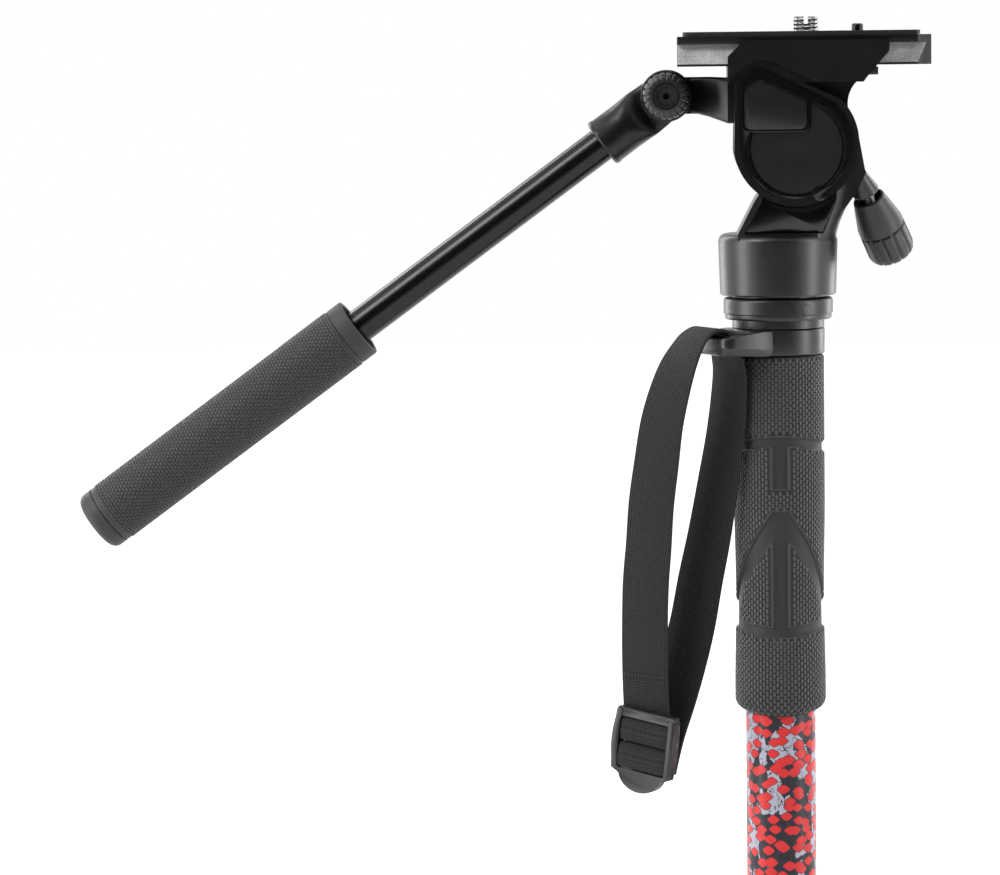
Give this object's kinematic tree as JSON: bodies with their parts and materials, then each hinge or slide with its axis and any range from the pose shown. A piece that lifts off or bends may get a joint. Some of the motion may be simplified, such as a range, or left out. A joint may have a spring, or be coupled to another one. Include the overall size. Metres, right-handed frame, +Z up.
{
  "type": "video monopod",
  "caption": "Closed twist-lock monopod with a small fluid pan and tilt head, sliding camera plate, pan bar, rubber hand grip and webbing wrist strap.",
  "frame": {"origin": "centre of the foot's flat underside, on the leg's axis", "axes": "+Z up the leg, +X the way the lens looks, the pan bar points to -X"},
  "size_m": [0.3081, 0.073, 0.5249],
  "materials": {
    "casting": "fine satin texture coat",
    "black_casting": "satin black coat",
    "gloss_black": "polished moulding",
    "grip_rubber": "matt knurled",
    "webbing": "woven polypropylene",
    "plastic": "fine spark texture",
    "printed_tube": "anodised print under clear coat",
    "black_tube": "black anodised",
    "steel": "nickel plated",
    "blasted_alloy": "bead blasted",
    "nylon": "natural moulding"
  },
  "bodies": {
    "mast": {"upper_tube": "printed_tube", "lock_ferrule_1": "plastic", "lock_shim_1": "nylon", "head_mount": "casting", "attachment_stud": "steel", "set_screw_1": "steel", "set_screw_2": "steel", "set_screw_3": "steel", "pan_base": "black_casting", "pan_bearing": "steel", "strap_ring": "casting", "strap_webbing": "webbing", "strap_buckle": "plastic", "hand_grip": "grip_rubber"},
    "section_2": {"leg_section_2": "black_tube", "guide_bush_2": "nylon", "lock_ferrule_2": "plastic", "lock_shim_2": "nylon"},
    "section_3": {"leg_section_3": "black_tube", "guide_bush_3": "nylon", "lock_ferrule_3": "plastic", "lock_shim_3": "nylon"},
    "section_4": {"leg_section_4": "black_tube", "guide_bush_4": "nylon", "lock_ferrule_4": "plastic", "lock_shim_4": "nylon"},
    "section_5": {"leg_section_5": "black_tube", "guide_bush_5": "nylon", "foot_plug": "plastic", "rubber_foot": "grip_rubber"},
    "twist_1": {"lock_collar_1": "grip_rubber"},
    "twist_2": {"lock_collar_2": "grip_rubber"},
    "twist_3": {"lock_collar_3": "grip_rubber"},
    "twist_4": {"lock_collar_4": "grip_rubber"},
    "pan": {"pan_housing": "casting", "arm_panel_front": "gloss_black", "arm_panel_rear": "gloss_black", "tilt_bearing_front": "nylon", "tilt_bearing_rear": "nylon"},
    "tilt_lock": {"tilt_lock_knob": "plastic", "tilt_lock_screw": "steel"},
    "tilt": {"tilt_body": "black_casting", "front_cover": "gloss_black", "rear_cover": "gloss_black", "badge_plate": "plastic", "tilt_axle": "steel", "handle_bolt": "steel"},
    "jaw": {"clamp_jaw": "blasted_alloy"},
    "jaw_knob": {"plate_lock_knob": "plastic"},
    "button": {"release_button": "plastic"},
    "plate": {"camera_plate": "blasted_alloy", "plate_pad": "grip_rubber"},
    "mount_screw": {"camera_screw": "steel"},
    "pin": {"video_pin": "black_tube"},
    "bar": {"handle_socket": "plastic", "handle_tube": "black_tube", "handle_grip": "grip_rubber"},
    "bar_knob": {"handle_knob": "plastic"}
  },
  "joints": [
    {"name": "section_2_slide", "type": "slide", "parent": "mast", "child": "section_2", "axis": [0, 0, -1], "range_m": [0, 0.214]},
    {"name": "section_3_slide", "type": "slide", "parent": "section_2", "child": "section_3", "axis": [0, 0, -1], "range_m": [0, 0.241]},
    {"name": "section_4_slide", "type": "slide", "parent": "section_3", "child": "section_4", "axis": [0, 0, -1], "range_m": [0, 0.267]},
    {"name": "section_5_slide", "type": "slide", "parent": "section_4", "child": "section_5", "axis": [0, 0, -1], "range_m": [0, 0.292]},
    {"name": "twist_lock_1", "type": "hinge", "parent": "mast", "child": "twist_1", "pos_m": [0, 0, 0.1358], "axis": [0, 0, 1], "range_deg": [0, 90]},
    {"name": "twist_lock_2", "type": "hinge", "parent": "section_2", "child": "twist_2", "pos_m": [0, 0, 0.1053], "axis": [0, 0, 1], "range_deg": [0, 90]},
    {"name": "twist_lock_3", "type": "hinge", "parent": "section_3", "child": "twist_3", "pos_m": [0, 0, 0.0758], "axis": [0, 0, 1], "range_deg": [0, 90]},
    {"name": "twist_lock_4", "type": "hinge", "parent": "section_4", "child": "twist_4", "pos_m": [0, 0, 0.0471], "axis": [0, 0, 1], "range_deg": [0, 90]},
    {"name": "head_pan", "type": "hinge", "parent": "mast", "child": "pan", "pos_m": [0, 0, 0.4363], "axis": [0, 0, 1], "continuous": true},
    {"name": "head_tilt", "type": "hinge", "parent": "pan", "child": "tilt", "pos_m": [0.0062, 0, 0.48], "axis": [0, 1, 0], "range_deg": [-40, 65]},
    {"name": "tilt_lock_turn", "type": "hinge", "parent": "pan", "child": "tilt_lock", "pos_m": [0.0325, 0, 0.46], "axis": [0.3681, 0.454, -0.8114], "range_deg": [-180, 180]},
    {"name": "plate_slide", "type": "slide", "parent": "tilt", "child": "plate", "axis": [-1, 0, 0], "range_m": [-0.02, 0.02]},
    {"name": "plate_knob_turn", "type": "hinge", "parent": "tilt", "child": "jaw_knob", "pos_m": [0.0106, 0.03, 0.5111], "axis": [0, 1, 0], "range_deg": [0, 360]},
    {"name": "jaw_open", "type": "slide", "parent": "tilt", "child": "jaw", "axis": [0, 1, 0], "range_m": [0, 0.0008]},
    {"name": "button_press", "type": "slide", "parent": "tilt", "child": "button", "axis": [-1, 0, 0], "range_m": [0, 0.0015], "stiffness_N_per_m": 300},
    {"name": "mount_screw_turn", "type": "hinge", "parent": "plate", "child": "mount_screw", "pos_m": [0.0105, 0, 0.515], "axis": [0, 0, 1], "continuous": true},
    {"name": "pin_press", "type": "slide", "parent": "plate", "child": "pin", "axis": [0, 0, -1], "range_m": [0, 0.0026], "stiffness_N_per_m": 300},
    {"name": "bar_angle", "type": "hinge", "parent": "tilt", "child": "bar", "pos_m": [-0.0397, 0, 0.4971], "axis": [0, -1, 0], "range_deg": [-75, 25]},
    {"name": "bar_knob_turn", "type": "hinge", "parent": "tilt", "child": "bar_knob", "pos_m": [-0.0397, 0, 0.4971], "axis": [0, -1, 0], "continuous": true}
  ],
  "couplings": [
    {"joint": "plate_knob_turn", "follows": "jaw_open", "rad_per_m": 7854}
  ]
}
